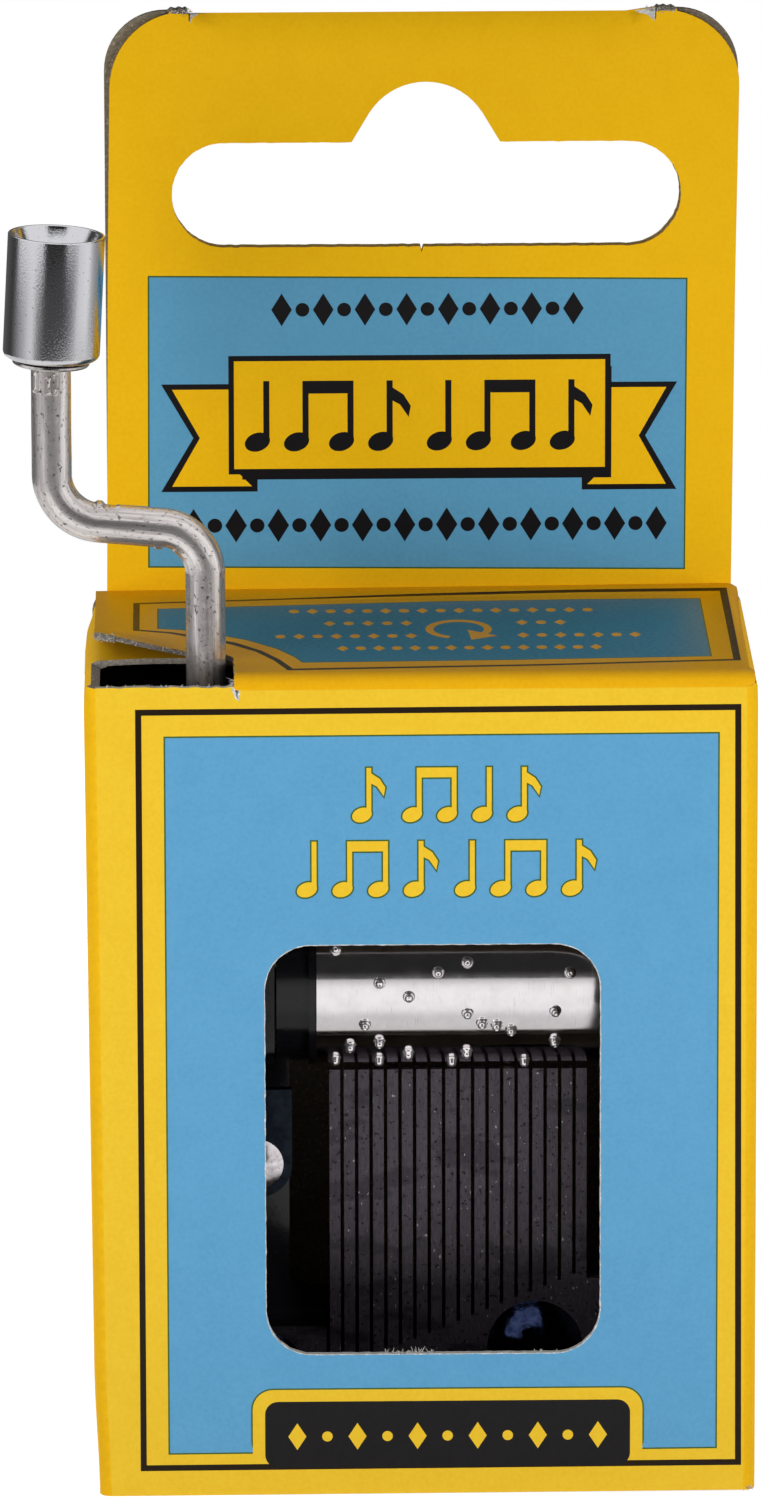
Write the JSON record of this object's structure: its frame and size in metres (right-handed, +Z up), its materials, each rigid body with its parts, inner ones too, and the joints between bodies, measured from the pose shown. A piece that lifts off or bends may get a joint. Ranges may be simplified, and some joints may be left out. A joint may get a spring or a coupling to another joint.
{
  "type": "hand crank music box",
  "caption": "Pocket music box: a bent steel crank turns a pinned cylinder past a steel comb, seen through the window of a folded paperboard carton with a hang tab.",
  "frame": {"origin": "middle of the carton's base, on the outside of the closing flap", "axes": "+X to the right as seen from the window, +Y from the window to the back, +Z up along the hang tab"},
  "size_m": [0.0507, 0.026, 0.0986],
  "materials": {
    "printed_board": "coated paperboard, printed yellow",
    "bare_board": "uncoated grey board",
    "black_moulding": "glossy black moulding",
    "comb_steel": "ground and darkened spring steel",
    "solder_weights": "dull grey weights",
    "zinc_screws": "blue zinc plating",
    "black_bracket": "blued black sheet steel",
    "bright_rivets": "bright nickel plating",
    "bush_brass": "turned brass",
    "cylinder_plating": "nickel plated tube with raised pins",
    "shaft_steel": "turned steel",
    "crank_steel": "satin steel rod with fine scratches",
    "knob_chrome": "bright plating"
  },
  "bodies": {
    "carton": {"front_panel": "printed_board", "left_side_panel": "printed_board", "right_side_panel": "printed_board", "back_panel": "printed_board", "top_panel": "printed_board", "hang_tab_front_ply": "printed_board", "hang_tab_back_ply": "printed_board", "left_glue_flap": "bare_board", "right_glue_flap": "bare_board", "left_top_dust_flap": "bare_board", "right_top_dust_flap": "bare_board", "left_bottom_dust_flap": "bare_board", "right_bottom_dust_flap": "bare_board", "movement_frame": "black_moulding", "comb": "comb_steel", "bass_weights": "solder_weights", "comb_screws": "zinc_screws", "crank_bracket": "black_bracket", "bracket_rivets": "bright_rivets", "crankshaft_bushes": "bush_brass", "arbor_bushes": "bush_brass"},
    "closing_flap": {"bottom_flap": "printed_board", "tuck_tongue": "bare_board"},
    "cylinder": {"pinned_cylinder": "cylinder_plating", "cylinder_hub": "black_moulding", "cylinder_end_cap": "black_moulding", "cylinder_arbor": "shaft_steel", "worm_wheel": "black_moulding", "arbor_clip": "bright_rivets"},
    "crank": {"crank_rod": "crank_steel", "worm": "shaft_steel", "knob_washer": "knob_chrome"},
    "knob": {"knob": "knob_chrome"}
  },
  "joints": [
    {"name": "crank_turn", "type": "hinge", "parent": "carton", "child": "crank", "pos_m": [-0.0147, -0.0083, 0.0345], "axis": [0, 0, 1], "continuous": true},
    {"name": "knob_spin", "type": "hinge", "parent": "crank", "child": "knob", "pos_m": [-0.025, -0.0083, 0.07805], "axis": [0.0523, 0, 0.9986], "continuous": true},
    {"name": "cylinder_turn", "type": "hinge", "parent": "carton", "child": "cylinder", "pos_m": [0, 0, 0.0345], "axis": [1, 0, 0], "continuous": true},
    {"name": "closing_flap_hinge", "type": "hinge", "parent": "carton", "child": "closing_flap", "pos_m": [0, 0.01275, 0.00025], "axis": [1, 0, 0], "range_deg": [0, 110]}
  ],
  "couplings": [
    {"joint": "cylinder_turn", "follows": "crank_turn", "ratio": 0.041667}
  ]
}
